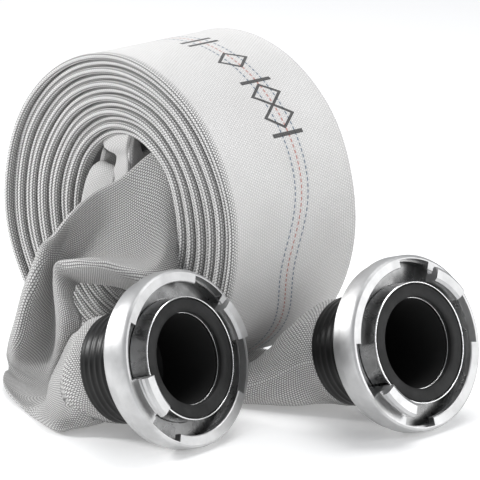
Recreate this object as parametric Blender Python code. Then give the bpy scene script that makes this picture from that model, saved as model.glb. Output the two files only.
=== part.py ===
"""A rolled layflat fire hose with a claw coupling at each end. Metres, +Z up, the floor at z = 0.

The roll stands on its rim with its axis along Y. The outer end of the hose leaves under the roll
along +X. The inner end comes out of the middle of the roll on the -Y side and lies in front of it.
"""

import math

import bmesh
import bpy
from mathutils import Matrix, Vector

MM = 0.001

# The hose, pressed flat
LAYFLAT = 128.0
HOSE_THICKNESS = 4.5
JACKET_WALL = 1.1
LINER_WALL = 0.6
GAP = 0.3

# The roll: each turn is an ellipse, and the inner turns sit a little towards +X
TURNS = 12.25
STEPS_PER_TURN = 28
OUTER_HALF_WIDTH = 122.0
OUTER_HALF_HEIGHT = 122.6
INNER_HALF_WIDTH = 51.0
INNER_HALF_HEIGHT = 62.4
INNER_SHIFT = 9.0
ROLL_HEIGHT = OUTER_HALF_HEIGHT + HOSE_THICKNESS / 2

# From the point where the roll's axis stands over the floor to the middle of the whole part
ASSEMBLY_SHIFT = (-66.55, 60.31, 0.0)

# The coupling, measured along its axis from the front rim of the head, backwards negative
HEAD_RADIUS = 63.0
HEAD_BACK = -25.5
HEAD_BORE = 44.2
CHANNEL_RADIUS = 58.5
CHANNEL_FLOOR = -14.0
FLANGE_RADIUS = 54.0
FLANGE_BACK = -5.5
CLAW_INNER_RADIUS = 45.0
CLAW_STEM_RADIUS = 51.0
CLAW_ROOT_FRONT = -1.0
CLAW_HOOK_RADIUS = 56.0
CLAW_HOOK_BACK = 4.5
CLAW_FRONT = 10.5
RING_GROOVE = (-19.0, -16.4)
COLLAR_RADIUS = 43.6
COLLAR_FRONT = 3.0
BARREL_RADIUS = 34.0
BARREL_BACK = -67.0
BORE_RADIUS = 32.0
SEAL_RADIUS = 42.2
SEAL_DEPTH = 5.0
JACKET_RADIUS = 36.7
WIRE_RADIUS = 0.6
WIRE_WINDING_RADIUS = 38.0
WIRE_TURNS = 5
SLEEVE_INNER = 38.9
SLEEVE_RADIUS = 40.1
SLEEVE_FRONT = -29.0
SLEEVE_BACK = -68.0

# Angles about the coupling's axis, counted clockwise from straight up as its mouth is faced
CLAW_ANGLES = {"inner": (71.0, 251.0), "outer": (44.0, 224.0)}
CLAW_WIDTH = 32.0
ENTRY_WIDTH = 40.0
NOTCH_WIDTH = 28.0
CLAW_MARGIN = 0.8

# Which way across a tail counts at its barrel: along or against the coupling's own Y
BARREL_ACROSS = {"inner": -1.0, "outer": 1.0}

# Where the middle of each front rim is, how far the nose is lifted, and how far it is turned
COUPLING_LIFT = 17.5
COUPLINGS = {
    "inner": ((144.8, -131.1, 64.2), 4.7),
    "outer": ((230.7, 11.1, 64.2), -0.9),
}

ROUND_STEPS = 32
TUBE_POINTS = 18


def clear_scene():
    for thing in list(bpy.data.objects):
        bpy.data.objects.remove(thing, do_unlink=True)


def material(name, color, roughness, metallic=0.0):
    made = bpy.data.materials.new(name)
    made.use_nodes = True
    shader = made.node_tree.nodes["Principled BSDF"]
    shader.inputs["Base Color"].default_value = (*color, 1.0)
    shader.inputs["Roughness"].default_value = roughness
    shader.inputs["Metallic"].default_value = metallic
    return made


def woven_polyester():
    return material("woven_polyester", (0.78, 0.78, 0.77), 0.85)


def liner_rubber():
    return material("liner_rubber", (0.10, 0.10, 0.10), 0.6)


def cast_aluminium():
    return material("cast_aluminium", (0.72, 0.73, 0.74), 0.28, metallic=1.0)


def turned_aluminium():
    return material("turned_aluminium", (0.80, 0.81, 0.82), 0.22, metallic=1.0)


def seal_rubber():
    return material("seal_rubber", (0.03, 0.03, 0.03), 0.55)


def sleeve_rubber():
    return material("sleeve_rubber", (0.02, 0.02, 0.02), 0.4)


def spring_steel():
    return material("spring_steel", (0.55, 0.55, 0.56), 0.35, metallic=1.0)


def binding_wire():
    return material("binding_wire", (0.60, 0.60, 0.60), 0.4, metallic=1.0)


def add_object(name, mesh, look):
    """One object holding this bmesh, in metres, its faces turned outwards."""
    bmesh.ops.recalc_face_normals(mesh, faces=mesh.faces)
    data = bpy.data.meshes.new(name)
    mesh.to_mesh(data)
    mesh.free()
    data.transform(Matrix.Scale(MM, 4))
    data.materials.append(look)
    thing = bpy.data.objects.new(name, data)
    bpy.context.scene.collection.objects.link(thing)
    return thing


def shade_smooth(thing, angle=35.0):
    thing.data.shade_smooth()
    thing.data.set_sharp_from_angle(angle=math.radians(angle))


def loft(rings, closed_path=False):
    """A closed skin through rings of equally many points, capped at both ends of an open path."""
    mesh = bmesh.new()
    rows = [[mesh.verts.new(point) for point in ring] for ring in rings]
    pairs = list(zip(rows, rows[1:]))
    if closed_path:
        pairs.append((rows[-1], rows[0]))
    for row, following in pairs:
        for i, here in enumerate(row):
            j = (i + 1) % len(row)
            mesh.faces.new((here, row[j], following[j], following[i]))
    if not closed_path:
        mesh.faces.new(rows[0])
        mesh.faces.new(list(reversed(rows[-1])))
    return mesh


def tube(outer_rings, inner_rings):
    """A closed skin of an open-ended tube: outer wall, inner wall and a rim at each end."""
    mesh = bmesh.new()
    outer = [[mesh.verts.new(point) for point in ring] for ring in outer_rings]
    inner = [[mesh.verts.new(point) for point in ring] for ring in inner_rings]
    walls = [*zip(outer, outer[1:]), *zip(inner, inner[1:])]
    walls += [(outer[0], inner[0]), (outer[-1], inner[-1])]
    for row, following in walls:
        for i, here in enumerate(row):
            j = (i + 1) % len(row)
            mesh.faces.new((here, row[j], following[j], following[i]))
    return mesh


def on_axis(radius, along, angle):
    """A point about the coupling's axis, which runs along X here; angle 0 is straight up."""
    turn = math.radians(angle)
    return Vector((along, radius * math.sin(turn), radius * math.cos(turn)))


def revolve(profile, steps=ROUND_STEPS):
    """A ring with this closed profile of (radius, along) points."""
    angles = [360.0 * i / steps for i in range(steps)]
    rings = [[on_axis(radius, along, angle) for radius, along in profile] for angle in angles]
    return loft(rings, closed_path=True)


def sector(profile, middle, width, steps=4):
    """Part of such a ring, width degrees long about the angle middle."""
    angles = [middle + width * (i / steps - 0.5) for i in range(steps + 1)]
    return loft([[on_axis(radius, along, angle) for radius, along in profile] for angle in angles])


def combine(thing, helper, operation):
    """Joins a helper to an object or cuts it away, then drops the helper."""
    modifier = thing.modifiers.new(operation.lower(), "BOOLEAN")
    modifier.operation = operation
    modifier.solver = "EXACT"
    modifier.object = helper
    graph = bpy.context.evaluated_depsgraph_get()
    result = bpy.data.meshes.new_from_object(thing.evaluated_get(graph))
    thing.modifiers.clear()
    thing.data = result
    bpy.data.objects.remove(helper, do_unlink=True)


def coupling_pose(end):
    """The matrix from the coupling's own axes, with X forwards, to the assembly, in metres."""
    middle, turn = COUPLINGS[end]
    place = Matrix.Translation(Vector(middle) * MM)
    yaw = Matrix.Rotation(math.radians(turn), 4, "Z")
    lift = Matrix.Rotation(math.radians(-COUPLING_LIFT), 4, "Y")
    return place @ yaw @ lift


def head_profile():
    groove_back, groove_front = RING_GROOVE
    return [
        (HEAD_BORE, HEAD_BACK),
        (56.0, HEAD_BACK),
        (60.5, -21.5),
        (60.5, -15.5),
        (HEAD_RADIUS, -13.0),
        (HEAD_RADIUS, -2.0),
        (61.0, 0.0),
        (FLANGE_RADIUS, 0.0),
        (FLANGE_RADIUS, FLANGE_BACK),
        (CHANNEL_RADIUS, FLANGE_BACK),
        (CHANNEL_RADIUS, CHANNEL_FLOOR),
        (HEAD_BORE, CHANNEL_FLOOR),
        (HEAD_BORE, groove_front),
        (HEAD_BORE + 1.5, groove_front),
        (HEAD_BORE + 1.5, groove_back),
        (HEAD_BORE, groove_back),
    ]


def claw_profile():
    root = CHANNEL_FLOOR - 1.0
    outside = CHANNEL_RADIUS + 0.4
    return [
        (CLAW_INNER_RADIUS, root),
        (outside, root),
        (outside, CLAW_ROOT_FRONT),
        (CLAW_STEM_RADIUS, CLAW_ROOT_FRONT),
        (CLAW_STEM_RADIUS, CLAW_HOOK_BACK),
        (CLAW_HOOK_RADIUS, CLAW_HOOK_BACK + 0.8),
        (CLAW_HOOK_RADIUS - 1.0, CLAW_FRONT),
        (CLAW_INNER_RADIUS + 1.0, CLAW_FRONT),
    ]


def gap_profile(outer):
    """What is cut out of the flange for an entry gap, out to this radius."""
    return [
        (FLANGE_RADIUS - 1.0, FLANGE_BACK - 1.0),
        (outer, FLANGE_BACK - 1.0),
        (outer, 1.0),
        (FLANGE_RADIUS - 1.0, 1.0),
    ]


def locking_head(name, claw_angles):
    look = cast_aluminium()
    head = add_object(name, revolve(head_profile()), look)
    for middle in claw_angles:
        entry = middle + (CLAW_WIDTH + ENTRY_WIDTH) / 2 + CLAW_MARGIN
        notch = middle - (CLAW_WIDTH + NOTCH_WIDTH) / 2 - CLAW_MARGIN
        entry_cut = sector(gap_profile(CHANNEL_RADIUS + 0.6), entry, ENTRY_WIDTH)
        combine(head, add_object("entry_cut", entry_cut, look), "DIFFERENCE")
        notch_cut = sector(gap_profile(CHANNEL_RADIUS + 1.4), notch, NOTCH_WIDTH)
        combine(head, add_object("notch_cut", notch_cut, look), "DIFFERENCE")
        claw = sector(claw_profile(), middle, CLAW_WIDTH)
        combine(head, add_object("claw", claw, look), "UNION")
    shade_smooth(head)
    return head


def spout(name):
    groove_back, groove_front = RING_GROOVE
    profile = [
        (BORE_RADIUS, BARREL_BACK),
        (BARREL_RADIUS - 1.5, BARREL_BACK),
        (BARREL_RADIUS, BARREL_BACK + 2.0),
        (BARREL_RADIUS, -54.0),
        (BARREL_RADIUS - 1.0, -52.5),
        (BARREL_RADIUS, -51.0),
        (BARREL_RADIUS, -42.0),
        (BARREL_RADIUS - 1.0, -40.5),
        (BARREL_RADIUS, -39.0),
        (BARREL_RADIUS, -29.0),
        (COLLAR_RADIUS, -27.5),
        (COLLAR_RADIUS, groove_back),
        (COLLAR_RADIUS - 1.5, groove_back),
        (COLLAR_RADIUS - 1.5, groove_front),
        (COLLAR_RADIUS, groove_front),
        (COLLAR_RADIUS, COLLAR_FRONT),
        (SEAL_RADIUS + GAP, COLLAR_FRONT),
        (SEAL_RADIUS + GAP, COLLAR_FRONT - SEAL_DEPTH),
        (BORE_RADIUS, COLLAR_FRONT - SEAL_DEPTH),
    ]
    made = add_object(name, revolve(profile), turned_aluminium())
    shade_smooth(made)
    return made


def seal(name):
    back = COLLAR_FRONT - SEAL_DEPTH + GAP
    profile = [
        (BORE_RADIUS + 1.2, back),
        (SEAL_RADIUS, back),
        (SEAL_RADIUS, COLLAR_FRONT - 0.8),
        (SEAL_RADIUS - 0.8, COLLAR_FRONT),
        (BORE_RADIUS + 2.0, COLLAR_FRONT),
        (BORE_RADIUS + 1.2, COLLAR_FRONT - 0.8),
    ]
    made = add_object(name, revolve(profile), seal_rubber())
    shade_smooth(made)
    return made


def snap_ring(name):
    """A split ring of square wire, half in the head's groove and half in the spout's."""
    groove_back, groove_front = RING_GROOVE
    inner = COLLAR_RADIUS - 1.5 + GAP
    outer = HEAD_BORE + 1.5 - GAP
    profile = [
        (inner, groove_back + GAP),
        (outer, groove_back + GAP),
        (outer, groove_front - GAP),
        (inner, groove_front - GAP),
    ]
    made = add_object(name, sector(profile, 0.0, 342.0, ROUND_STEPS - 2), spring_steel())
    shade_smooth(made)
    return made


def binding(name):
    """The wire winding that ties the hose onto the barrel."""
    start = SLEEVE_FRONT - 4.0
    end = SLEEVE_BACK + 6.0
    steps = WIRE_TURNS * TUBE_POINTS
    corners = [45.0 + 90.0 * i for i in range(4)]
    rings = []
    for i in range(steps + 1):
        share = i / steps
        angle = 360.0 * WIRE_TURNS * share
        along = start + (end - start) * share
        ring = []
        for corner in corners:
            out = WIRE_WINDING_RADIUS + WIRE_RADIUS * math.cos(math.radians(corner))
            beside = along + WIRE_RADIUS * math.sin(math.radians(corner))
            ring.append(on_axis(out, beside, angle))
        rings.append(ring)
    made = add_object(name, loft(rings), binding_wire())
    shade_smooth(made, 60.0)
    return made


def sleeve(name):
    middle = (SLEEVE_FRONT + SLEEVE_BACK) / 2
    profile = [
        (SLEEVE_INNER, SLEEVE_BACK),
        (SLEEVE_RADIUS - 0.5, SLEEVE_BACK),
        (SLEEVE_RADIUS, middle),
        (SLEEVE_RADIUS, SLEEVE_FRONT),
        (SLEEVE_INNER, SLEEVE_FRONT),
    ]
    made = add_object(name, revolve(profile), sleeve_rubber())
    shade_smooth(made)
    return made


def coupling(end):
    """All the pieces of one coupling, their origins on its axis in the plane of the front rim."""
    pieces = [
        locking_head(end + "_head", CLAW_ANGLES[end]),
        spout(end + "_spout"),
        seal(end + "_seal"),
        snap_ring(end + "_snap_ring"),
        binding(end + "_binding"),
        sleeve(end + "_sleeve"),
    ]
    for piece in pieces:
        piece.matrix_world = coupling_pose(end)


def roll_point(turns_in, outwards):
    """A point of the roll's middle surface, turns_in turns before its outer end at the bottom."""
    share = turns_in / TURNS
    across = OUTER_HALF_WIDTH + (INNER_HALF_WIDTH - OUTER_HALF_WIDTH) * share + outwards
    up = OUTER_HALF_HEIGHT + (INNER_HALF_HEIGHT - OUTER_HALF_HEIGHT) * share + outwards
    angle = math.radians(-90.0 - 360.0 * turns_in)
    x = INNER_SHIFT * share + across * math.cos(angle)
    return x, ROLL_HEIGHT + up * math.sin(angle)


def roll_offset(turns_in):
    """How far this place of the hose sits out of line along the roll's axis."""
    return 1.6 * math.sin(5.1 * turns_in) + 0.9 * math.sin(1.7 * turns_in + 1.0)


def hose_roll():
    half = LAYFLAT / 2
    thick = HOSE_THICKNESS / 2
    section = [(half, thick), (-half, thick), (-half, -thick), (half, -thick)]
    rings = []
    for i in range(round(TURNS * STEPS_PER_TURN) + 1):
        turns_in = i / STEPS_PER_TURN
        ring = []
        for beside, outwards in section:
            x, z = roll_point(turns_in, outwards)
            ring.append((x, beside + roll_offset(turns_in), z))
        rings.append(ring)
    made = add_object("hose_roll", loft(rings), woven_polyester())
    shade_smooth(made)


def flattened_ring(middle, beside, above, half_width, half_thickness, inset):
    """The outline of a flattened tube: two straight sides joined by two half circles."""
    straight = half_width - half_thickness
    ring = []
    for i in range(TUBE_POINTS):
        angle = 2 * math.pi * i / TUBE_POINTS
        side = math.copysign(straight, math.cos(angle))
        out = half_thickness - inset
        point = middle + beside * (side + out * math.cos(angle)) + above * (out * math.sin(angle))
        ring.append(point)
    return ring


def frames_along(stations):
    """The middle, the direction across and the direction above of each station of a tail."""
    middles = [Vector(station[0]) for station in stations]
    frames = []
    for i, (middle, across, half_width, half_thickness) in enumerate(stations):
        before = middles[max(i - 1, 0)]
        after = middles[min(i + 1, len(middles) - 1)]
        along = (after - before).normalized()
        beside = Vector(across)
        beside = (beside - along * beside.dot(along)).normalized()
        above = along.cross(beside)
        frames.append((Vector(middle), beside, above, half_width, half_thickness))
    return frames


def tail(end, stations, liner_from=0):
    """The woven jacket of one end of the hose, and its liner from one station on."""
    frames = frames_along(stations)
    liner_outside = JACKET_WALL + GAP
    jacket = tube(
        [flattened_ring(*frame, 0.0) for frame in frames],
        [flattened_ring(*frame, JACKET_WALL) for frame in frames],
    )
    liner = tube(
        [flattened_ring(*frame, liner_outside) for frame in frames[liner_from:]],
        [flattened_ring(*frame, liner_outside + LINER_WALL) for frame in frames[liner_from:]],
    )
    shade_smooth(add_object(end + "_jacket", jacket, woven_polyester()), 60.0)
    shade_smooth(add_object(end + "_liner", liner, liner_rubber()), 60.0)


def on_barrel(end, along):
    """A round station of a tail, around the barrel of this coupling."""
    pose = coupling_pose(end)
    middle = pose @ Vector((along * MM, 0.0, 0.0)) / MM
    across = pose.to_3x3() @ Vector((0.0, BARREL_ACROSS[end], 0.0))
    return middle, across, JACKET_RADIUS, JACKET_RADIUS


def outer_tail():
    y = roll_offset(0.0)
    flat = HOSE_THICKNESS / 2
    half = LAYFLAT / 2
    across = (0, 1, 0)
    stations = [
        ((0.4, y, flat), across, half, flat),
        ((45.0, y, flat + GAP), across, half, flat),
        ((78.0, y + 1.0, 6.5), across, 59.0, 5.6),
        ((104.0, y + 3.5, 13.8), across, 54.0, 13.0),
        ((130.0, y + 7.0, 24.5), across, 48.0, 23.0),
        ((150.0, y + 10.0, 35.0), across, 41.0, 32.0),
        on_barrel("outer", SLEEVE_BACK - 2.0),
        on_barrel("outer", SLEEVE_FRONT - 1.0),
    ]
    tail("outer", stations)


def inner_tail():
    stations = [
        ((32.0, 45.0, 134.0), (0, 0, -1), 28.0, 6.0),
        ((32.0, -20.0, 134.0), (0, 0, -1), 28.0, 7.0),
        ((30.0, -56.0, 130.0), (0.2, 0, -1), 30.0, 7.0),
        ((22.0, -80.0, 116.0), (0.6, 0, -0.8), 36.0, 6.0),
        ((-2.0, -93.0, 92.0), (0.7, -0.1, -0.7), 40.0, 6.0),
        ((-28.0, -104.0, 68.0), (0.6, -0.5, -0.5), 41.0, 7.0),
        ((-47.0, -113.0, 46.0), (0.35, -0.9, -0.2), 41.0, 9.0),
        ((-55.0, -118.0, 26.0), (0.1, -1, 0), 43.0, 10.0),
        ((-40.0, -120.0, 13.0), (0, -1, 0), 44.0, 11.0),
        ((-14.0, -122.0, 13.0), (0, -1, 0), 46.0, 12.5),
        ((18.0, -129.0, 19.0), (0, -1, 0), 46.0, 18.0),
        ((50.0, -136.0, 31.5), (0, -1, 0), 42.0, 28.0),
        on_barrel("inner", SLEEVE_BACK - 2.0),
        on_barrel("inner", SLEEVE_FRONT - 1.0),
    ]
    tail("inner", stations, liner_from=9)


def main():
    clear_scene()
    hose_roll()
    outer_tail()
    inner_tail()
    for end in COUPLINGS:
        coupling(end)
    shift = Matrix.Translation(Vector(ASSEMBLY_SHIFT) * MM)
    for piece in bpy.context.scene.collection.objects:
        piece.matrix_world = shift @ piece.matrix_world


main()
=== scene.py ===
"""The looks of a rolled layflat fire hose with two claw couplings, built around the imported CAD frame.

Sizes are in millimetres in the roll's own axes: X towards the mouths of the couplings, Y along the
roll's axis, Z up from the floor under the middle of the roll.
"""

import math

import bmesh
import bpy
import numpy as np
from mathutils import Matrix, Vector


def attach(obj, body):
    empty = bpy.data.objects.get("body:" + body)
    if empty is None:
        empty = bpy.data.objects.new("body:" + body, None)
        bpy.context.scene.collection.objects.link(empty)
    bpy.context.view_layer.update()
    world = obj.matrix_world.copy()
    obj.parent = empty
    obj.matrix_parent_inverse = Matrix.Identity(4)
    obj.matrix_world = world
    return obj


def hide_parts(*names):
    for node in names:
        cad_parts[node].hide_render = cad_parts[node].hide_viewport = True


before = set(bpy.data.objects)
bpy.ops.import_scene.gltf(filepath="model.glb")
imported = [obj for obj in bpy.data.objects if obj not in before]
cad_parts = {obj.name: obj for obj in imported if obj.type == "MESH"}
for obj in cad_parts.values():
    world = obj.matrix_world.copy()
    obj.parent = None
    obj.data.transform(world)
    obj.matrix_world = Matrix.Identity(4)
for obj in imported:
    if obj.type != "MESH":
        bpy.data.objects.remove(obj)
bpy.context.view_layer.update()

MM = 0.001
# From the roll's own axes to the assembly's, which start on the floor under the middle of the part
SHIFT = np.array((-66.55, 60.31, 0.0))

# The hose, pressed flat
LAYFLAT = 128.0
HALF_FLAT = LAYFLAT / 2
HALF_THICKNESS = 2.15
FLOOR_GAP = 0.4
JACKET_WALL = 1.1
LINER_GAP = 0.3
LINER_WALL = 0.6

# The five points across a station of the hose's ends, as shares of its half width
FIVE_ACROSS = (-1.0, -0.5, 0.0, 0.5, 1.0)

# The roll, as in the CAD: each turn is an ellipse, and the inner turns sit towards +X
TURNS = 12.25
OUTER_HALF_WIDTH = 122.0
OUTER_HALF_HEIGHT = 122.6
INNER_HALF_WIDTH = 51.0
INNER_HALF_HEIGHT = 62.4
INNER_SHIFT = 9.0
ROLL_HEIGHT = 124.85
ROLL_STEPS = 96
ROLL_COUNT = 56

# How far each turn stands out of the roll's front face, outermost first, front negative. The hose
# moves over from one place to the next within OFFSET_RUN of a turn, and its loose outermost turn
# stands out further around one place, given in turns from the outer end
TURN_OFFSETS = (0.8, -0.3, 1.2, -1.4, 1.3, -0.8, 1.2, -1.5, 1.0, -1.6, 1.4, -0.6, 2.0, 2.4)
OFFSET_RUN = 0.2
LOOSE_OFFSET = -3.0
LOOSE_PLACE = 0.24
LOOSE_SPREAD = 0.13

# Across the rolled hose, as shares of its half width: its edges bulge from BULGE_FROM outwards, and
# within SWELL_RUN inwards from SWELL_FROM it swells until it is TURN_GAP from the next turn
EDGE_BULGE = 0.75
BULGE_FROM = 0.93
SWELL_FROM = 0.9
SWELL_RUN = 0.06
TURN_GAP = 0.15

# The couplings, along their axes from the front rim of the head, backwards negative
COUPLING_LIFT = 17.5
COUPLINGS = {
    "inner": ((144.8, -131.1, 64.2), 4.7),
    "outer": ((230.7, 11.1, 64.2), -0.9),
}
BARREL_TWIST = {"inner": 45.0, "outer": 0.0}
JACKET_RADIUS = 36.7
BORE_RADIUS = 32.0
BARREL_RADIUS = 34.0
COLLAR_RADIUS = 43.6
COLLAR_FRONT = 3.0
HEAD_RADIUS = 63.0
HEAD_BORE = 44.2
CHANNEL_RADIUS = 58.5
CHANNEL_BACK = -14.0
SNAP_GROOVE_FRONT = -16.4
SNAP_GROOVE_BACK = -19.0
SLEEVE_FRONT = -29.0
SLEEVE_BACK = -68.0
SLEEVE_RADIUS = 39.75
SLEEVE_BORE = 38.9
WIRE_PITCH = 5.6

# The claws by their middles, in degrees clockwise from the top as seen from the front, and the two
# gaps in the flange beside each claw: degrees from the claw's middle, width and outer radius
CLAW_ANGLES = {"inner": (71.0, 251.0), "outer": (44.0, 224.0)}
CLAW_WIDTH = 32.0
FLANGE_GAPS = ((36.8, 40.0, 59.1), (-30.8, 28.0, 60.0))
GAP_INNER = 53.0
GAP_BACK = -6.5
GAP_FRONT = 1.0

# The weave's pitch along and across the hose
WEAVE_ALONG = 2.25
WEAVE_ACROSS = 1.9

# Tones of the woven hose, each as (grey, warmth)
CLEAN_YARN = (0.79, 0.010)
SOILED_YARN = (0.71, 0.015)
LOOSE_FIBRE = (0.58, 0.02)
# Painted light that brightens the hose's edges on the roll's faces
EDGE_PAINTED_LIGHT = (0.95, 0.01)
WEAVE_GAP = (0.14, 0.02)
# Painted shade on the hose's flat faces between the roll's turns
PAINTED_SHADE_BETWEEN_TURNS = (0.12, 0.02)

# Dashed coloured threads along the hose, by their places behind the middle of its outer face
BLUE_DYE = (0.07, 0.12, 0.18, 1.0)
RED_DYE = (0.42, 0.14, 0.11, 1.0)
THREADS = ((8.0, BLUE_DYE), (14.6, RED_DYE), (21.2, BLUE_DYE))
THREAD_HALF = 0.6
THREAD_HALO = 2.2
DASH_PITCH = 4.2
DASH_SHARE = 0.6

# Low on the front of the roll the print strays to the near edge, most at this angle above +X
WANDER = 18.0
WANDER_ANGLE = -12.0
WANDER_SPREAD = 42.0

# Plain printed marks on the outermost turn, by their angle above +X, and their size
MARKS = (
    ("bar", 88.5),
    ("bar", 84.5),
    ("diamond", 69.5),
    ("bar", 57.0),
    ("diamond", 50.5),
    ("diamond", 41.5),
    ("bar", 34.5),
)
MARK_MIDDLE = 14.0
MARK_HALF = 15.0
MARK_STROKE = 1.6

# The camera: where it looks, in the roll's own axes, and from where
CAMERA_TARGET = (60.9, 2.3, 108.1)
CAMERA_AZIMUTH = 45.4
CAMERA_ELEVATION = 15.2
CAMERA_ROLL = 0.1
CAMERA_DISTANCE = 2743.0
CAMERA_LENS = 280.3
SENSOR_WIDTH = 36.0

# The studio, in metres and watts: the floor, and each lamp's place, aim, size and power
FLOOR_REACH = 6.0
FLOOR_DROP = 0.0004
SKY_COLOR = (0.95, 0.97, 1.0, 1.0)
SKY_STRENGTH = 0.50
LAMPS = {
    "overhead": ((0.1, 0.3, 1.5), (0.0, 0.0, 0.1), 1.0, 12.0),
    "front": ((-1.7, -1.15, 1.2), (0.0, 0.0, 0.1), 0.6, 38.0),
    "right": ((1.7, 0.9, 0.6), (0.1, 0.0, 0.1), 1.0, 11.0),
}


# ---------------------------------------------------------------- shader helpers


class Nodes:
    """A material's node tree, with one short call for each kind of node it needs."""

    def __init__(self, name):
        self.material = bpy.data.materials.new(name)
        self.material.use_nodes = True
        self.tree = self.material.node_tree
        self.shader = self.tree.nodes["Principled BSDF"]

    def put(self, socket, value):
        if isinstance(value, bpy.types.NodeSocket):
            self.tree.links.new(value, socket)
        else:
            socket.default_value = value

    def set(self, **inputs):
        for key, value in inputs.items():
            self.put(self.shader.inputs[key.replace("_", " ")], value)

    def math(self, operation, *values):
        node = self.tree.nodes.new("ShaderNodeMath")
        node.operation = operation
        for socket, value in zip(node.inputs, values):
            self.put(socket, value)
        return node.outputs[0]

    def texture_point(self, kind):
        return self.tree.nodes.new("ShaderNodeTexCoord").outputs[kind]

    def split(self, vector):
        node = self.tree.nodes.new("ShaderNodeSeparateXYZ")
        self.put(node.inputs[0], vector)
        return node.outputs

    def noise(self, vector, scale, detail=3.0, roughness=0.5):
        node = self.tree.nodes.new("ShaderNodeTexNoise")
        self.put(node.inputs["Vector"], vector)
        self.put(node.inputs["Scale"], scale)
        self.put(node.inputs["Detail"], detail)
        self.put(node.inputs["Roughness"], roughness)
        return node.outputs["Fac"]

    def remap(self, value, low, high, to_low=0.0, to_high=1.0):
        node = self.tree.nodes.new("ShaderNodeMapRange")
        for socket, given in zip(node.inputs, (value, low, high, to_low, to_high)):
            self.put(socket, given)
        return node.outputs[0]

    def mix(self, factor, first, second):
        node = self.tree.nodes.new("ShaderNodeMix")
        node.data_type = "RGBA"
        for key, value in (("Factor_Float", factor), ("A_Color", first), ("B_Color", second)):
            socket = next(s for s in node.inputs if s.identifier == key)
            self.put(socket, value)
        return next(s for s in node.outputs if s.identifier == "Result_Color")

    def stretch(self, vector, scale):
        node = self.tree.nodes.new("ShaderNodeMapping")
        self.put(node.inputs["Vector"], vector)
        self.put(node.inputs["Scale"], scale)
        return node.outputs[0]

    def axis_radius(self, y, z):
        """Distance from a coupling's axis."""
        return self.math("SQRT", self.math("ADD", self.math("POWER", y, 2.0), self.math("POWER", z, 2.0)))

    def bump(self, height, strength, distance, normal=None):
        node = self.tree.nodes.new("ShaderNodeBump")
        self.put(node.inputs["Strength"], strength)
        self.put(node.inputs["Distance"], distance)
        self.put(node.inputs["Height"], height)
        if normal is not None:
            self.put(node.inputs["Normal"], normal)
        return node.outputs[0]


def grey(value, warmth=0.0):
    return (value * (1 + warmth), value, value * (1 - warmth), 1.0)


# ---------------------------------------------------------------- materials


def woven(name, pitch=1.0, smooth=0.0, printed=False):
    """Undyed polyester weave. UV holds millimetres along and around the hose.

    Pitch is the weave's size, a little smaller where the hose is slack, and smooth is how far it is
    pressed flat. Printed is for the rolled hose, with painted light on its edges and painted shade
    between its turns.
    """
    n = Nodes(name)
    along, around, _ = n.split(n.texture_point("UV"))
    yarn = yarn_height(n, along, around, pitch)
    place = n.texture_point("Object")
    fuzz = n.noise(place, scale=900.0, detail=2.0)
    soiled = n.remap(n.noise(place, scale=22.0, detail=4.0), 0.3, 0.75)
    light = n.mix(soiled, grey(*CLEAN_YARN), grey(*SOILED_YARN))
    light = n.mix(n.math("MULTIPLY", fuzz, 0.25), light, grey(*LOOSE_FIBRE))
    if printed:
        # The hose's edges stay coarse and are painted lighter, painted light on the roll's faces, apart
        # from the outermost turn's at the back
        from_middle = n.math("FLOORED_MODULO", n.math("ADD", around, HALF_FLAT), LAYFLAT)
        from_middle = n.math("ABSOLUTE", n.math("SUBTRACT", from_middle, HALF_FLAT))
        at_edge = n.remap(from_middle, HALF_FLAT - 9.0, HALF_FLAT - 4.0)
        outer_face = outermost_turn(n, along, around)
        far_edge = n.math("MULTIPLY", outer_face, n.math("GREATER_THAN", around, 0.0))
        at_edge = n.math("MULTIPLY", at_edge, n.math("SUBTRACT", 1.0, far_edge))
        smooth = n.math("MULTIPLY", n.math("SUBTRACT", 1.0, at_edge), smooth)
        # Painted light: the hose's edges lighter
        light = n.mix(n.math("MULTIPLY", at_edge, 0.6), light, grey(*EDGE_PAINTED_LIGHT))
    shown = n.math("MAXIMUM", n.remap(yarn, 0.15, 0.75), smooth)
    color = n.mix(shown, grey(*WEAVE_GAP), light)
    if printed:
        # Painted shade on the hose's flat faces between the roll's turns
        color = n.mix(painted_shade_between_turns(n, from_middle, outer_face), color, grey(*PAINTED_SHADE_BETWEEN_TURNS))
        color = printed_lines(n, along, around, color)
    n.set(Base_Color=color, Roughness=0.82, Sheen_Weight=0.15, Sheen_Roughness=0.5)
    relief = n.math("MULTIPLY", yarn, n.remap(smooth, 0.0, 1.0, 1.0, 0.3))
    relief = n.math("ADD", relief, n.math("MULTIPLY", fuzz, 0.25))
    n.set(Normal=n.bump(relief, strength=0.9, distance=0.0007))
    return n.material


def yarn_height(n, along, around, pitch):
    """Each yarn's crossing as a rounded cell, in rows that are shifted by half a cell in turn."""
    row = n.math("DIVIDE", around, WEAVE_ACROSS * pitch)
    shift = n.math("MULTIPLY", n.math("FLOORED_MODULO", n.math("FLOOR", row), 2.0), 0.5)
    cell = n.math("ADD", n.math("DIVIDE", along, WEAVE_ALONG * pitch), shift)
    rounded = []
    for place in (row, cell):
        from_middle = n.math("SUBTRACT", n.math("FRACT", place), 0.5)
        rounded.append(n.math("COSINE", n.math("MULTIPLY", from_middle, math.pi)))
    return n.math("POWER", n.math("MULTIPLY", *rounded), 0.8)


def outermost_turn(n, along, around):
    """1 on the outer face of the roll's outermost turn."""
    first_turn = n.math("LESS_THAN", along, hose_length_to(1.0))
    return n.math("MULTIPLY", first_turn, n.math("LESS_THAN", around, HALF_FLAT))


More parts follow.
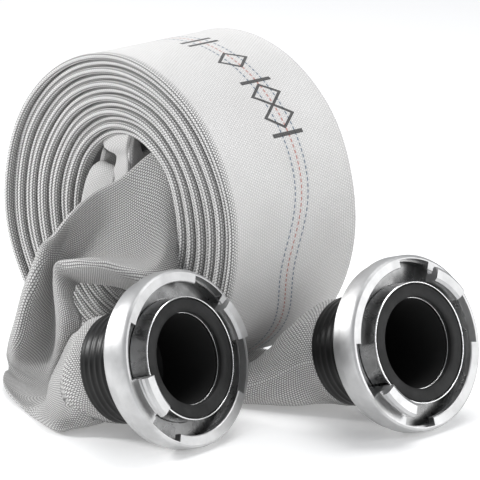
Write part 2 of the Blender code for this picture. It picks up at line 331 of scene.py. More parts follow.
def painted_shade_between_turns(n, from_middle, outer_face):
    """Above 0 on the hose's flat faces inside the roll: painted shade where little light gets between the
    turns.
    """
    flat = n.remap(from_middle, HALF_FLAT - 6.5, HALF_FLAT - 4.4, 0.8, 0.0)
    return n.math("MULTIPLY", flat, n.math("SUBTRACT", 1.0, outer_face))


def inside(n, value, middle, half):
    """1 where value is within half of middle."""
    return n.math("LESS_THAN", n.math("ABSOLUTE", n.math("SUBTRACT", value, middle)), half)


def printed_lines(n, along, around, color):
    """Three dashed coloured threads along the hose, and a row of plain black marks on them."""
    around = n.math("ADD", around, print_wander(n, along))
    step = n.math("FRACT", n.math("DIVIDE", along, DASH_PITCH))
    dash = n.math("LESS_THAN", step, DASH_SHARE)
    for middle, dye in THREADS:
        color = n.mix(n.math("MULTIPLY", inside(n, around, middle, THREAD_HALO), 0.06), color, dye)
        line = n.math("MULTIPLY", inside(n, around, middle, THREAD_HALF), dash)
        color = n.mix(n.math("MULTIPLY", line, 0.85), color, dye)
    ink = 0.0
    for kind, angle in MARKS:
        draw = {"bar": bar_mark, "diamond": diamond_mark}[kind]
        ink = n.math("MAXIMUM", ink, draw(n, along, around, hose_length_to(turns_at(angle))))
    return n.mix(n.math("MULTIPLY", ink, 0.93), color, grey(0.03))


def print_wander(n, along):
    """How far the printed lines stray towards the hose's near edge, low on the front of the roll."""
    middle = hose_length_to(turns_at(WANDER_ANGLE))
    away = n.math("DIVIDE", n.math("SUBTRACT", along, middle), WANDER_SPREAD)
    fall = n.math("EXPONENT", n.math("MULTIPLY", n.math("MULTIPLY", away, away), -1.0))
    return n.math("MULTIPLY", fall, WANDER)


def bar_mark(n, along, around, middle):
    """A plain bar across the hose."""
    thin = inside(n, along, middle, MARK_STROKE)
    return n.math("MULTIPLY", thin, inside(n, around, MARK_MIDDLE, MARK_HALF))


def diamond_mark(n, along, around, middle):
    """A hollow diamond, shorter along the hose than across it."""
    far_along = n.math("DIVIDE", n.math("ABSOLUTE", n.math("SUBTRACT", along, middle)), MARK_HALF * 0.7)
    far_around = n.math("DIVIDE", n.math("ABSOLUTE", n.math("SUBTRACT", around, MARK_MIDDLE)), MARK_HALF)
    rim = n.math("SUBTRACT", n.math("ADD", far_along, far_around), 0.9)
    return n.math("LESS_THAN", n.math("ABSOLUTE", rim), 0.13)


def liner_rubber():
    n = Nodes("liner_rubber_look")
    place = n.texture_point("Object")
    n.set(Base_Color=grey(0.012), Specular_IOR_Level=0.2)
    n.set(Roughness=n.remap(n.noise(place, scale=120.0), 0.3, 0.7, 0.45, 0.65))
    n.set(Normal=n.bump(n.noise(place, scale=600.0), strength=0.15, distance=0.0003))
    return n.material


def polished_aluminium():
    """Polished casting: bright outside; in the channel behind the flange glossier and darker, partly as
    cast and partly painted shade.
    """
    n = Nodes("polished_aluminium_look")
    place = n.texture_point("Object")
    x, y, z = n.split(place)
    within = n.math("LESS_THAN", n.axis_radius(y, z), (CHANNEL_RADIUS + 0.5) * MM)
    behind = n.math("LESS_THAN", x, -1.0 * MM)
    ahead = n.math("GREATER_THAN", x, (CHANNEL_BACK - 6.0) * MM)
    recess = n.math("MULTIPLY", n.math("MULTIPLY", within, behind), ahead)
    mottled = n.remap(n.noise(place, scale=45.0, detail=5.0, roughness=0.6), 0.3, 0.7)
    bright = n.mix(mottled, grey(0.62), grey(0.46))
    # Darker in the channel: partly the as-cast surface, partly painted shade in the recess
    cast_and_painted_shade = n.mix(mottled, grey(0.42), grey(0.20))
    rough = n.remap(n.noise(place, scale=60.0, detail=4.0), 0.3, 0.7, 0.38, 0.52)
    n.set(Base_Color=n.mix(recess, bright, cast_and_painted_shade), Metallic=1.0)
    n.set(Roughness=n.math("SUBTRACT", rough, n.math("MULTIPLY", recess, 0.16)))
    dents = n.bump(n.noise(place, scale=40.0, detail=3.0), strength=0.10, distance=0.001)
    scratches = n.noise(n.stretch(place, (8.0, 1.0, 1.0)), scale=300.0, detail=4.0)
    n.set(Normal=n.bump(scratches, strength=0.12, distance=0.0002, normal=dents))
    return n.material


def turned_aluminium():
    """Fine turned rings, and painted shade: the bore black behind its front edge, as the dark deep in the
    hole.
    """
    n = Nodes("turned_aluminium_look")
    place = n.texture_point("Object")
    x, y, z = n.split(place)
    radius = n.axis_radius(y, z)
    shade = n.remap(n.noise(place, scale=80.0), 0.3, 0.7)
    # Painted shade: the bore behind its front edge is black and not metal, standing for the dark hole
    bore = n.math("LESS_THAN", radius, (BORE_RADIUS + 0.5) * MM)
    painted_bore_shade = n.math("MULTIPLY", bore, n.math("LESS_THAN", x, -4.2 * MM))
    n.set(
        Base_Color=n.mix(painted_bore_shade, n.mix(shade, grey(0.86), grey(0.78)), grey(0.012)),
        Metallic=n.math("SUBTRACT", 1.0, painted_bore_shade),
        Roughness=n.math("ADD", 0.2, n.math("MULTIPLY", painted_bore_shade, 0.4)),
    )
    rings = n.math("SINE", n.math("MULTIPLY", n.math("ADD", radius, x), 9000.0))
    n.set(Normal=n.bump(rings, strength=0.05, distance=0.0001))
    return n.material


def black_rubber(name, base, low, high, grain):
    """Dusty rubber: its base grey, its lowest and highest roughness and the scale of its grain."""
    n = Nodes(name)
    place = n.texture_point("Object")
    dusty = n.remap(n.noise(place, scale=70.0, detail=4.0), 0.35, 0.75)
    n.set(Base_Color=n.mix(dusty, grey(base), grey(base * 1.8)), Specular_IOR_Level=0.2)
    n.set(Roughness=n.remap(n.noise(place, scale=200.0), 0.3, 0.7, low, high))
    n.set(Normal=n.bump(n.noise(place, scale=grain), strength=0.2, distance=0.0002))
    return n.material


def drawn_steel(name, value):
    n = Nodes(name)
    lines = n.noise(n.stretch(n.texture_point("Object"), (1.0, 40.0, 40.0)), scale=90.0)
    n.set(Base_Color=n.mix(lines, grey(value), grey(value * 0.7)), Metallic=1.0, Roughness=0.33)
    n.set(Normal=n.bump(lines, strength=0.1, distance=0.0001))
    return n.material


def studio_floor():
    n = Nodes("studio_floor_look")
    mottled = n.noise(n.texture_point("Object"), scale=3.0)
    n.set(Base_Color=n.mix(mottled, grey(0.90), grey(0.89)), Roughness=0.6)
    n.set(Emission_Color=grey(1.0), Emission_Strength=0.22)
    return n.material


# ---------------------------------------------------------------- mesh helpers


def to_metres(points):
    return (np.asarray(points, float) + SHIFT) * MM


def make_piece(name, mesh, looks):
    """One object holding this bmesh, in metres."""
    data = bpy.data.meshes.new(name)
    mesh.to_mesh(data)
    mesh.free()
    for look in looks:
        data.materials.append(look)
    piece = bpy.data.objects.new(name, data)
    bpy.context.scene.collection.objects.link(piece)
    data.shade_smooth()
    return piece


def hose_skin(loops, along, around, mesh=None):
    """A closed skin through these loops of points (mm), its UV in millimetres of hose."""
    mesh = mesh or bmesh.new()
    layer = mesh.loops.layers.uv.verify()
    rows = [[mesh.verts.new(point) for point in loop] for loop in to_metres(loops)]
    count = len(rows[0])
    for s in range(len(rows) - 1):
        for k in range(count):
            j = (k + 1) % count
            face = mesh.faces.new((rows[s][k], rows[s][j], rows[s + 1][j], rows[s + 1][k]))
            spots = ((s, k), (s, k + 1), (s + 1, k + 1), (s + 1, k))
            for corner, (here, place) in zip(face.loops, spots):
                corner[layer].uv = (along[here], around[here][place])
    mesh.faces.new(list(reversed(rows[0])))
    mesh.faces.new(rows[-1])
    bmesh.ops.recalc_face_normals(mesh, faces=mesh.faces)
    return mesh


def clamp(value):
    """Value, kept between 0 and 1."""
    return min(1.0, max(0.0, value))


def bell(value, middle, spread):
    """1 at the middle, falling away to 0 on both sides."""
    return math.exp(-(((value - middle) / spread) ** 2))


def running_length(points):
    """Millimetres along these points, from the first to each."""
    return np.concatenate([[0.0], np.cumsum(np.linalg.norm(np.diff(points, axis=0), axis=1))])


def spline(points, spots, places):
    """A smooth curve through points at these spots (a rising row), read at these places."""
    points = np.asarray(points, float)
    spots = np.asarray(spots, float)
    places = np.asarray(places, float)
    slopes = np.gradient(points, spots, axis=0)
    k = np.clip(np.searchsorted(spots, places, side="right") - 1, 0, len(spots) - 2)
    gap = spots[k + 1] - spots[k]
    t = (places - spots[k]) / gap
    shape = (-1,) + (1,) * (points.ndim - 1)
    t = t.reshape(shape)
    gap = gap.reshape(shape)
    return (
        (2 * t**3 - 3 * t**2 + 1) * points[k]
        + (t**3 - 2 * t**2 + t) * gap * slopes[k]
        + (3 * t**2 - 2 * t**3) * points[k + 1]
        + (t**3 - t**2) * gap * slopes[k + 1]
    )


def round_fractions(count):
    """Places around a flattened tube, as shares of its girth, closer together at its two edges."""
    even = np.arange(count) / count
    return even - 0.11 * np.sin(4 * math.pi * even) / 2


def flattened_point(half_width, half_thickness, share):
    """(across, above) on a flattened tube's outline, this share of the way around from one edge."""
    straight = max(half_width - half_thickness, 0.0)
    quarter = math.pi * half_thickness / 2
    half_girth = 2 * straight + 2 * quarter
    side = 1.0 if share < 0.5 else -1.0
    way = (share if share < 0.5 else 1.0 - share) * 2 * half_girth
    if way < quarter:
        turn = way / half_thickness
        return -straight - half_thickness * math.cos(turn), side * half_thickness * math.sin(turn)
    if way < quarter + 2 * straight:
        return way - quarter - straight, side * half_thickness
    turn = (way - quarter - 2 * straight) / half_thickness
    return straight + half_thickness * math.sin(turn), side * half_thickness * math.cos(turn)


# ---------------------------------------------------------------- the roll


def roll_place(turns_in, outwards):
    """(x, z) in the roll, this many turns in from its outer end."""
    share = turns_in / TURNS
    across = OUTER_HALF_WIDTH + (INNER_HALF_WIDTH - OUTER_HALF_WIDTH) * share + outwards
    up = OUTER_HALF_HEIGHT + (INNER_HALF_HEIGHT - OUTER_HALF_HEIGHT) * share + outwards
    angle = math.radians(-90.0 - 360.0 * turns_in)
    return INNER_SHIFT * share + across * math.cos(angle), ROLL_HEIGHT + up * math.sin(angle)


def roll_offset(turns_in):
    turn = int(turns_in)
    share = min((turns_in - turn) / OFFSET_RUN, 1.0)
    blend = share * share * (3.0 - 2.0 * share)
    loose = LOOSE_OFFSET * bell(turns_in, LOOSE_PLACE, LOOSE_SPREAD)
    return TURN_OFFSETS[turn] + (TURN_OFFSETS[turn + 1] - TURN_OFFSETS[turn]) * blend + loose


def gap_inside(turns_in):
    """Millimetres between this turn's inner face and the next turn's outer face."""
    if turns_in > TURNS - 1.0:
        return 0.0
    return math.dist(roll_place(turns_in, -HALF_THICKNESS), roll_place(turns_in + 1.0, HALF_THICKNESS))


def roll_edge_wave(turns_in, side):
    """Small unevenness of the hose's edge along the roll."""
    return 0.35 * math.sin(31.0 * turns_in + side) + 0.25 * math.sin(57.0 * turns_in + 2.0 * side)


def hose_length_to(turns_in):
    """Millimetres of hose from its outer end at the floor to this place in the roll."""
    outer = (OUTER_HALF_WIDTH + OUTER_HALF_HEIGHT) / 2
    inner = (INNER_HALF_WIDTH + INNER_HALF_HEIGHT) / 2
    return 2 * math.pi * turns_in * (outer + (inner - outer) * turns_in / TURNS / 2)


def turns_at(angle):
    """Where the outermost turn passes this angle above +X, as turns from the outer end."""
    return (270.0 - angle) / 360.0


def roll_outline(turns_in, shares):
    """The hose's outline at one place in the roll."""
    slack = max(gap_inside(turns_in) - TURN_GAP, 0.0)
    outline = []
    for share in shares:
        beside, outwards = flattened_point(HALF_FLAT, HALF_THICKNESS, share)
        edge = abs(beside) / HALF_FLAT
        outwards *= 1.0 + EDGE_BULGE / HALF_THICKNESS * clamp((edge - BULGE_FROM) / (1.0 - BULGE_FROM))
        if outwards < 0.0:
            outwards -= slack * clamp((SWELL_FROM - edge) / SWELL_RUN)
        wave = edge * roll_edge_wave(turns_in, math.copysign(1.0, beside))
        x, z = roll_place(turns_in, outwards)
        outline.append((x, beside + roll_offset(turns_in) + wave, z))
    return outline


def hose_roll(look):
    shares = round_fractions(ROLL_COUNT)
    places = [i / ROLL_STEPS for i in range(round(TURNS * ROLL_STEPS) + 1)]
    loops = [roll_outline(turns_in, shares) for turns_in in places]
    along = [hose_length_to(turns_in) for turns_in in places]
    girth = 4 * (HALF_FLAT - HALF_THICKNESS) + 2 * math.pi * HALF_THICKNESS
    around = [[girth * share - HALF_FLAT for share in (*shares, 1.0)]] * len(places)
    piece = make_piece("rolled_hose", hose_skin(loops, along, around), [look])
    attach(piece, "hose")
    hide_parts("hose_roll")


# ---------------------------------------------------------------- the two ends of the hose


class Band:
    """A length of hose lofted through stations.

    A station is five points across the hose's middle surface, from one edge to the other, and half
    the thickness there. Between stations everything is a smooth curve.
    """

    COUNT = 88
    COUNT_ACROSS = 41
    STEP = 3.0
    THINNEST = 0.5

    def __init__(self, stations, girth=None):
        rows = np.array([points for points, _ in stations], float)
        spots = running_length(rows[:, 2])
        self.along = np.linspace(0.0, spots[-1], round(spots[-1] / self.STEP))
        self.rows = spline(rows, spots, self.along)
        self.half = spline([half for _, half in stations], spots, self.along)
        self.shares = round_fractions(self.COUNT)
        self.grid = np.array([self.across(row) for row in self.rows])
        ahead = np.gradient(self.grid, axis=0)
        beside = np.gradient(self.grid, axis=1)
        normal = np.cross(beside, ahead)
        self.normal = normal / np.linalg.norm(normal, axis=2, keepdims=True)
        self.girth = girth or 2 * np.linalg.norm(beside, axis=2).sum(axis=1).mean()

    def across(self, row):
        """A finer row of points through this one, evenly spaced."""
        lengths = running_length(row)
        return spline(row, lengths, np.linspace(0.0, lengths[-1], self.COUNT_ACROSS))

    def loops(self, inset=0.0, first=0, ripple=None):
        """The outlines from station sample first on, this far inside the hose's outer face."""
        made = []
        for s in range(first, len(self.rows)):
            grid = self.grid[s]
            lengths = running_length(grid)
            half_width = lengths[-1] / 2
            half = max(min(self.half[s], half_width), self.THINNEST)
            loop = []
            for share in self.shares:
                beside, above = flattened_point(half_width - inset, half - inset, share)
                place = beside + half_width
                point = np.array([np.interp(place, lengths, grid[:, k]) for k in range(3)])
                normal = np.array([np.interp(place, lengths, self.normal[s][:, k]) for k in range(3)])
                if ripple:
                    above += ripple(self.along[s], beside / half_width, above)
                point = point + normal * above
                point[2] = max(point[2], FLOOR_GAP + inset)
                loop.append(point)
            made.append(loop)
        return np.array(made)

    def girths(self, first=0):
        """For the UV: millimetres around the hose at each place of a loop."""
        around = [self.girth * (share - 0.25) for share in (*self.shares, 1.0)]
        return [around] * (len(self.rows) - first)


def coupling_pose(end):
    """The matrix from a coupling's own axes, in metres, to the assembly."""
    middle, turn = COUPLINGS[end]
    place = Matrix.Translation(Vector(to_metres([middle])[0]))
    yaw = Matrix.Rotation(math.radians(turn), 4, "Z")
    lift = Matrix.Rotation(math.radians(-COUPLING_LIFT), 4, "Y")
    return place @ yaw @ lift


def on_barrel(end, along, radius=JACKET_RADIUS):
    """A round station around a coupling's barrel, with the hose's edges at its twist."""
    pose = coupling_pose(end)
    twist = math.radians(BARREL_TWIST[end])
    points = []
    for share in FIVE_ACROSS:
        reach = radius * share
        points.append(pose @ (Vector((along, reach * math.cos(twist), reach * math.sin(twist))) * MM))
    return [tuple(np.array(point) / MM - SHIFT) for point in points], radius


def barrel_stations(end, gathered):
    """The last stations: behind the sleeve at these (distances, radii), and then under it."""
    stations = [on_barrel(end, SLEEVE_BACK - behind, radius) for behind, radius in gathered]
    return [*stations, on_barrel(end, SLEEVE_BACK + 6.0), on_barrel(end, SLEEVE_FRONT)]


def straight_across(x, y, z, half_width, half):
    """A flat station, straight across the hose."""
    return [(x, y + half_width * share, z) for share in FIVE_ACROSS], half


def hose_end(name, end, band, hollow_from, looks, liner_look, ripple=None, folds=()):
    """The jacket of one end of the hose, and the liner in it.

    The jacket is hollow from the sample hollow_from on. The folds are other lengths of the same hose,
    which take the second look: a weave pressed flatter and lighter, the lightness painted light.
    """
    outer = band.loops(0.0, 0, ripple)
    inner = band.loops(JACKET_WALL, hollow_from, ripple)[::-1]
    along = [*band.along, *band.along[hollow_from:][::-1]]
    around = band.girths() + band.girths(hollow_from)
    skin = hose_skin(np.concatenate([outer, inner]), along, around)
    count = len(skin.faces)
    for fold in folds:
        hose_skin(fold.loops(), fold.along, fold.girths(), skin)
    for face in list(skin.faces)[count:]:
        face.material_index = 1
    jacket = make_piece(name + "_jacket", skin, looks)
    lining = JACKET_WALL + LINER_GAP
    lining_outer = band.loops(lining, hollow_from + 1, ripple)
    lining_inner = band.loops(lining + LINER_WALL, hollow_from + 2, ripple)[::-1]
    along = [*band.along[hollow_from + 1:], *band.along[hollow_from + 2:][::-1]]
    around = band.girths(hollow_from + 1) + band.girths(hollow_from + 2)
    skin = hose_skin(np.concatenate([lining_outer, lining_inner]), along, around)
    liner = make_piece(name + "_liner", skin, [liner_look])
    for piece, node, slot in ((jacket, "_jacket", "woven_polyester"), (liner, "_liner", "liner_rubber")):
        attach(piece, "hose")
        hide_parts(end + node)


# The outer end on the floor: x, sideways from the roll's edge, z, half its width and thickness
OUTER_PATH = (
    (0.0, 0.0, 2.25, HALF_FLAT, HALF_THICKNESS),
    (28.0, 0.0, 2.3, HALF_FLAT, HALF_THICKNESS),
    (54.0, 0.0, 3.0, 61.5, 2.6),
    (78.0, 1.0, 6.5, 59.0, 5.6),
    (104.0, 3.5, 13.8, 54.0, 12.8),
    (130.0, 7.5, 24.5, 48.0, 23.0),
)


def outer_end(look, liner_look):
    """From under the roll along the floor, opening from flat to round."""
    middle = roll_offset(0.0)
    stations = [straight_across(x, middle + aside, z, *halves) for x, aside, z, *halves in OUTER_PATH]
    stations += barrel_stations("outer", ((8.0, 39.0), (1.0, 37.6)))

    def pleats(along, beside, above):
        """Shallow folds that gather the flat hose onto the round barrel."""
        wave = math.sin(9.0 * beside + 0.05 * along) + 0.6 * math.sin(17.0 * beside + 1.0)
        return bell(along, 140.0, 26.0) * 1.1 * wave * above / (abs(above) + 5.0)

    band = Band(stations, girth=2 * LAYFLAT)
    hose_end("outer_end", "outer", band, hollow_from=34, looks=[look], liner_look=liner_look, ripple=pleats)


# The inner end from the roll's middle down to the floor, where it is flat, and round to its
# coupling, where it opens: its stations, listed
INNER_FLAT = (
    [(44, 40, 165), (52, 40, 146), (56, 40, 127), (55, 40, 108), (49, 40, 90)],
    [(44, -10, 167), (53, -10, 146), (56, -10, 126), (56, -10, 107), (52, -10, 88)],
    [(33, -56, 181), (48, -57, 165), (58, -59, 130), (64, -63, 97), (68, -67, 72)],
    [(16, -74, 161), (30, -71, 140), (52, -76, 109), (69, -95, 100), (66, -85, 75)],
    [(-2, -84, 149), (2, -77, 129), (22, -81, 104), (55, -107, 104), (53, -86, 81)],
    [(-18, -92, 132), (-19, -82, 115), (-8, -83, 99), (33, -115, 108), (28, -90, 85)],
    [(-30, -98, 115), (-37, -84, 102), (-26, -83, 92), (13, -117, 104), (9, -93, 84)],
    [(-46, -97, 102), (-41, -102, 93), (-44, -83, 84), (-5, -116, 96), (-5, -99, 82)],
)
INNER_OPENING = (
    ([(-56, -101, 76), (-46, -109, 71), (-45, -86, 67), (-8, -113, 84), (-3, -106, 75)], 2.2),
    ([(-64, -109, 37), (-52, -118, 33), (-42, -91, 32), (-3, -110, 56), (4, -103, 56)], 2.4),
    ([(-63, -117, 12), (-42, -123, 8), (-15, -121, 7), (-20, -108, 12), (-26, -96, 24)], 2.6),
    ([(-12, -156, 4), (8, -158, 6), (15, -148, 8), (-2, -126, 9), (-18, -104, 14)], 3.0),
    ([(48, -179, 4), (37, -167, 9), (27, -154, 14), (11, -136, 18), (-6, -112, 22)], 4.5),
    ([(71, -170, 6), (62, -162, 15), (48, -151, 25), (26, -130, 34), (2, -104, 40)], 9.0),
    ([(80, -160, 10), (71, -154, 19), (60, -146, 29), (44, -130, 41), (30, -112, 52)], 20.0),
)


def thin_stations(rows):
    return [(row, HALF_THICKNESS) for row in rows]


def inner_end(look, fold_lit_look, liner_look):
    """Out of the middle of the roll, down over a fold in front of it, and round to the coupling."""
    stations = [
        *thin_stations(INNER_FLAT),
        *INNER_OPENING,
        *barrel_stations("inner", ((9.0, 39.0), (1.0, 38.0))),
    ]

    def creases(along, beside, above):
        """Faint wrinkles where the hose is bent hardest, and two sharp folds near the floor."""
        wrinkles = bell(along, 235.0, 60.0) * 0.35 * math.sin(0.16 * along + 4.0 * beside)
        sharp = bell(along, 333.0, 5.0) + bell(along, 374.0, 5.0)
        return wrinkles + 3.5 * clamp(0.4 - beside) * sharp

    hose_end(
        "inner_end",
        "inner",
        Band(stations, girth=2 * LAYFLAT),
        hollow_from=150,
        looks=[look, fold_lit_look],
        liner_look=liner_look,
        ripple=creases,
        folds=core_folds(),
    )


# The hose's folds in the middle of the roll, as far as they show: their stations, listed
CORE_FOLDS = {
    "strip": (
        [(-20, -56, 183), (-12, -57, 186), (-4, -58, 188), (4, -59, 189), (12, -60, 190)],
        [(-19, -57, 174), (-12, -58, 176), (-5, -59, 178), (3, -60, 179), (10, -61, 181)],
        [(-8, -56, 171), (-4, -57, 173), (-1, -57, 173), (4, -58, 174), (8, -59, 175)],
        [(-8, -56, 164), (-4, -57, 165), (1, -58, 166), (5, -59, 167), (10, -60, 168)],
        [(-10, -58, 156), (-4, -59, 158), (1, -60, 159), (7, -61, 161), (12, -62, 162)],
        [(-12, -61, 148), (-6, -61, 149), (0, -62, 151), (7, -63, 152), (12, -63, 153)],
        [(-14, -62, 128), (-6, -62, 130), (2, -62, 132), (11, -62, 134), (19, -62, 136)],
    ),
    "tuck": (
        [(-21, -57, 173), (-23, -51, 171), (-24, -46, 169), (-25, -41, 167), (-26, -35, 165)],
        [(-23, -57, 167), (-25, -51, 165), (-25, -46, 163), (-25, -41, 162), (-26, -35, 159)],
        [(-28, -55, 158), (-29, -50, 156), (-29, -45, 154), (-28, -40, 152), (-28, -35, 150)],
        [(-32, -53, 149), (-32, -49, 147), (-32, -44, 145), (-32, -39, 142), (-30, -35, 140)],
    ),
    "face": (
        [(-42, -60, 94), (-30, -60, 98), (-18, -60, 104), (-6, -60, 111), (6, -60, 118)],
        [(-39, -64, 124), (-33, -64, 128), (-26, -64, 131), (-18, -64, 134), (-11, -64, 137)],
        [(-37, -63, 138), (-30, -63, 140), (-22, -63, 142), (-13, -63, 144), (-5, -63, 145)],
        [(-34, -62, 149), (-28, -62, 150), (-20, -62, 150), (-12, -62, 150), (-4, -62, 150)],
        [(-30, -60, 158), (-25, -60, 158), (-18, -61, 157), (-11, -61, 155), (-4, -61, 154)],
        [(-27, -57, 161), (-23, -57, 161), (-17, -58, 160), (-11, -58, 159), (-6, -58, 157)],
        [(-29, -50, 156), (-27, -50, 156), (-24, -50, 155), (-20, -50, 154), (-17, -50, 153)],
    ),
    "side": (
        [(12, -59, 189), (6, -54, 187), (1, -48, 184), (-4, -42, 181), (-8, -36, 178)],
        [(10, -60, 178), (6, -54, 176), (2, -48, 173), (-1, -42, 171), (-5, -36, 169)],
        [(10, -60, 169), (7, -54, 168), (5, -48, 167), (2, -42, 165), (-1, -36, 164)],
        [(9, -60, 158), (7, -54, 157), (5, -48, 157), (3, -42, 156), (1, -36, 156)],
    ),
}
# The length that crosses from the last turn to the way out, by (x, z), its middle and half its width
CROSSING_PATH = ((-34, 100), (-36, 125), (-31, 145), (-20, 160), (0, 169), (22, 165), (37, 150))
CROSSING_MIDDLE = 18.0
CROSSING_HALF = 44.0


def core_folds():
    """The hose's folds in the middle of the roll, where it turns from the last turn to its way out."""
    folds = [Band(thin_stations(rows)) for rows in CORE_FOLDS.values()]
    crossing = [
        straight_across(x, CROSSING_MIDDLE, z, CROSSING_HALF, HALF_THICKNESS) for x, z in CROSSING_PATH
    ]
    return [*folds, Band(crossing)]


# ---------------------------------------------------------------- the couplings


def on_axis(radius, along, angle):
    """A point about a coupling's axis, its angle clockwise from the top as seen from the front."""
    turn = math.radians(angle)
    return Vector((along, radius * math.sin(turn), radius * math.cos(turn))) * MM


def join_rows(mesh, rows):
    """Faces from each row of points to the next, each row closed on itself."""
    for row, following in zip(rows, rows[1:]):
        for k, here in enumerate(row):
            j = (k + 1) % len(row)
            mesh.faces.new((here, row[j], following[j], following[k]))


def ring_mesh(profile, steps=144, ripple=None):
    """A ring with this closed profile of (radius, along) points."""
    mesh = bmesh.new()
    rows = []
    for i in range(steps):
        angle = 360.0 * i / steps
        row = []
        for radius, along in profile:
            more = ripple(along, angle, radius) if ripple else 0.0
            row.append(mesh.verts.new(on_axis(radius + more, along, angle)))
        rows.append(row)
    join_rows(mesh, [*rows, rows[0]])
    bmesh.ops.recalc_face_normals(mesh, faces=mesh.faces)
    return mesh


def sector_mesh(profile, middle, width, steps=16):
    """Part of such a ring, width degrees long about the angle middle."""
    mesh = bmesh.new()
    rows = []
    for i in range(steps + 1):
        angle = middle + width * (i / steps - 0.5)
        rows.append([mesh.verts.new(on_axis(radius, along, angle)) for radius, along in profile])
    join_rows(mesh, rows)
    mesh.faces.new(rows[0])
    mesh.faces.new(list(reversed(rows[-1])))
    bmesh.ops.recalc_face_normals(mesh, faces=mesh.faces)
    return mesh


def combine(piece, helper, operation):
    """Applies this boolean and deletes the helper."""
    modifier = piece.modifiers.new(operation.lower(), "BOOLEAN")
    modifier.operation = operation
    modifier.solver = "EXACT"
    modifier.object = helper
    graph = bpy.context.evaluated_depsgraph_get()
    result = bpy.data.meshes.new_from_object(piece.evaluated_get(graph))
    piece.modifiers.clear()
    piece.data = result
    bpy.data.objects.remove(helper, do_unlink=True)


def soften(piece, width, angle=28.0):
    """Rounds the sharp edges a little, as casting and wear do."""
    bevel = piece.modifiers.new("rounded_edges", "BEVEL")
    bevel.width = width * MM
    bevel.segments = 2
    bevel.limit_method = "ANGLE"
    bevel.angle_limit = math.radians(angle)
    bevel.harden_normals = True
    bevel.use_clamp_overlap = True


# Outlines about a coupling's axis, as (radius, along)
HEAD_OUTLINE = (
    (HEAD_BORE, -25.5),
    (55.6, -25.5),
    (58.6, -24.2),
    (60.4, -21.5),
    (60.5, -15.8),
    (61.4, -14.6),
    (HEAD_RADIUS, -13.4),
    (HEAD_RADIUS, -2.6),
    (62.2, -0.9),
    (60.8, 0.0),
    (54.6, 0.0),
    (54.0, -0.6),
    (54.0, -5.5),
    (CHANNEL_RADIUS, -5.5),
    (CHANNEL_RADIUS, CHANNEL_BACK),
    (HEAD_BORE, CHANNEL_BACK),
    (HEAD_BORE, SNAP_GROOVE_FRONT),
    (HEAD_BORE + 1.5, SNAP_GROOVE_FRONT),
    (HEAD_BORE + 1.5, SNAP_GROOVE_BACK),
    (HEAD_BORE, SNAP_GROOVE_BACK),
)
CLAW_OUTLINE = (
    (45.0, -15.0),
    (58.9, -15.0),
    (58.9, -1.2),
    (57.6, -0.5),
    (52.2, -0.5),
    (51.2, 0.6),
    (51.0, 3.6),
    (52.6, 4.6),
    (55.2, 5.0),
    (56.0, 6.2),
    (55.6, 8.6),
    (53.6, 10.3),
    (47.4, 10.4),
    (45.3, 8.8),
)
SEAL_OUTLINE = (
    (32.6, -1.7),
    (42.1, -1.7),
    (42.2, 1.0),
    (41.8, 2.1),
    (40.8, 2.6),
    (36.4, 2.7),
    (34.6, 2.5),
    (33.2, 1.9),
    (32.6, 0.8),
)


def locking_head(end, look):
    """A ring with a channel behind its flange, gaps in the flange and two claws in front of it."""
    head = make_piece(end + "_locking_head", ring_mesh(HEAD_OUTLINE), [look])
    for middle in CLAW_ANGLES[end]:
        for turn, width, outer in FLANGE_GAPS:
            outline = [(GAP_INNER, GAP_BACK), (outer, GAP_BACK), (outer, GAP_FRONT), (GAP_INNER, GAP_FRONT)]
            gap = make_piece("gap", sector_mesh(outline, middle + turn, width), [look])
            combine(head, gap, "DIFFERENCE")
        claw = make_piece("claw", sector_mesh(CLAW_OUTLINE, middle, CLAW_WIDTH), [look])
        combine(head, claw, "UNION")
    soften(head, width=0.55)
    return head


def spout(end, look):
    """The tube inside the coupling, with two grooves in its barrel, a collar and a rim for the seal."""
    outline = [(BORE_RADIUS, -67.0), (32.5, -67.0), (BARREL_RADIUS, -65.0)]
    for middle in (-52.5, -40.5):
        outline += [
            (BARREL_RADIUS, middle - 1.5),
            (BARREL_RADIUS - 1.0, middle),
            (BARREL_RADIUS, middle + 1.5),
        ]
    outline += [
        (BARREL_RADIUS, -29.0),
        (COLLAR_RADIUS, -27.5),
        (COLLAR_RADIUS, SNAP_GROOVE_BACK),
        (COLLAR_RADIUS - 1.5, SNAP_GROOVE_BACK),
        (COLLAR_RADIUS - 1.5, SNAP_GROOVE_FRONT),
        (COLLAR_RADIUS, SNAP_GROOVE_FRONT),
        (COLLAR_RADIUS, 2.5),
        (43.2, COLLAR_FRONT),
        (42.7, COLLAR_FRONT),
        (42.45, 2.6),
        (42.45, -2.0),
        (33.4, -2.0),
        (32.2, -2.2),
        (BORE_RADIUS, -3.0),
    ]
    piece = make_piece(end + "_hose_spout", ring_mesh(outline), [look])
    soften(piece, width=0.15)
    return piece


def seal(end, look):
    return make_piece(end + "_face_seal", ring_mesh(SEAL_OUTLINE), [look])


def sleeve(end, look):
    """A tight black sleeve over the wire winding, whose turns show through as ridges."""
    count = 52
    outline = [(SLEEVE_BORE, SLEEVE_BACK)]
    for i in range(count + 1):
        along = SLEEVE_BACK + (SLEEVE_FRONT - SLEEVE_BACK) * i / count
        near_end = min(along - SLEEVE_BACK, SLEEVE_FRONT - along)
        outline.append((SLEEVE_RADIUS - 0.7 * math.exp(-near_end / 0.5), along))
    outline.append((SLEEVE_BORE, SLEEVE_FRONT))

    def ridges(along, angle, radius):
        if radius < SLEEVE_BORE + 0.05:
            return 0.0
        wire = 0.5 + 0.5 * math.cos(2 * math.pi * (along / WIRE_PITCH - angle / 360.0))
        return 0.35 * clamp((along - SLEEVE_BACK - 3.0) / 4.0) * wire**2

    return make_piece(end + "_binding_sleeve", ring_mesh(outline, steps=120, ripple=ridges), [look])


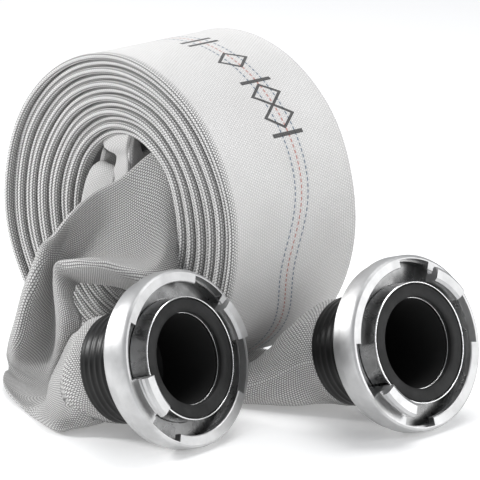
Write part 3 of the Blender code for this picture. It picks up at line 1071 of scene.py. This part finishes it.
def coupling(end, looks):
    """The pieces of one coupling that show, and looks for the two CAD nodes hidden inside it."""
    pieces = {
        "head": (locking_head(end, looks["cast"]), "cast_aluminium", end + "_lock"),
        "spout": (spout(end, looks["turned"]), "turned_aluminium", "hose"),
        "seal": (seal(end, looks["seal"]), "seal_rubber", "hose"),
        "sleeve": (sleeve(end, looks["sleeve"]), "sleeve_rubber", "hose"),
    }
    for node, (piece, slot, body) in pieces.items():
        piece.matrix_world = coupling_pose(end)
        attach(piece, body)
        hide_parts(f"{end}_{node}")
    for node, look in (("snap_ring", looks["spring"]), ("binding", looks["wire"])):
        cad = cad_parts[f"{end}_{node}"]
        for place in cad.material_slots:
            place.material = look


# ---------------------------------------------------------------- the studio


def floor(look):
    mesh = bmesh.new()
    corners = [(-1, -1), (1, -1), (1, 1), (-1, 1)]
    mesh.faces.new([mesh.verts.new((x * FLOOR_REACH, y * FLOOR_REACH, -FLOOR_DROP)) for x, y in corners])
    make_piece("studio_floor", mesh, [look])


def area_light(name, place, toward, size, power):
    light = bpy.data.lights.new(name, "AREA")
    light.shape = "DISK"
    light.size = size
    light.energy = power
    lamp = bpy.data.objects.new(name, light)
    bpy.context.scene.collection.objects.link(lamp)
    lamp.location = place
    aim = Vector(toward) - Vector(place)
    lamp.rotation_euler = aim.to_track_quat("-Z", "Y").to_euler()


def lights():
    world = bpy.data.worlds.new("studio")
    bpy.context.scene.world = world
    world.use_nodes = True
    back = world.node_tree.nodes["Background"]
    back.inputs["Color"].default_value = SKY_COLOR
    back.inputs["Strength"].default_value = SKY_STRENGTH
    for name, settings in LAMPS.items():
        area_light(name, *settings)


def camera():
    """At the photograph's viewing angle."""
    azimuth = math.radians(CAMERA_AZIMUTH)
    elevation = math.radians(CAMERA_ELEVATION)
    back = Vector(
        (
            math.sin(azimuth) * math.cos(elevation),
            -math.cos(azimuth) * math.cos(elevation),
            math.sin(elevation),
        )
    )
    right = Vector((math.cos(azimuth), math.sin(azimuth), 0.0))
    up = back.cross(right)
    turned = Matrix.Rotation(math.radians(CAMERA_ROLL), 3, back)
    right = turned @ right
    up = turned @ up
    lens = bpy.data.cameras.new("camera")
    lens.lens = CAMERA_LENS
    lens.sensor_width = SENSOR_WIDTH
    lens.clip_end = 100.0
    eye = bpy.data.objects.new("camera", lens)
    bpy.context.scene.collection.objects.link(eye)
    rotation = Matrix((right, up, back)).transposed().to_4x4()
    target = Vector(to_metres([CAMERA_TARGET])[0])
    eye.matrix_world = Matrix.Translation(target + back * CAMERA_DISTANCE * MM) @ rotation
    bpy.context.scene.camera = eye
    bpy.context.scene.view_settings.view_transform = "Standard"


def main():
    plain = woven("woven_jacket_look", pitch=0.85)
    printed = woven("woven_jacket_printed_look", smooth=0.76, printed=True)
    liner_look = liner_rubber()
    looks = {
        "cast": polished_aluminium(),
        "turned": turned_aluminium(),
        "seal": black_rubber("seal_rubber_look", base=0.016, low=0.5, high=0.62, grain=500.0),
        "sleeve": black_rubber("sleeve_rubber_look", base=0.004, low=0.3, high=0.42, grain=300.0),
        "spring": drawn_steel("spring_steel_look", 0.6),
        "wire": drawn_steel("binding_wire_look", 0.65),
    }
    camera()
    lights()
    floor(studio_floor())
    hose_roll(printed)
    outer_end(plain, liner_look)
    # The folds in the roll's middle take a copy of the weave pressed flatter and lighter: painted light
    # where the roll shades them
    inner_end(plain, woven("woven_jacket_folded_lit_look", pitch=0.85, smooth=0.6), liner_look)
    for end in COUPLINGS:
        coupling(end, looks)


main()
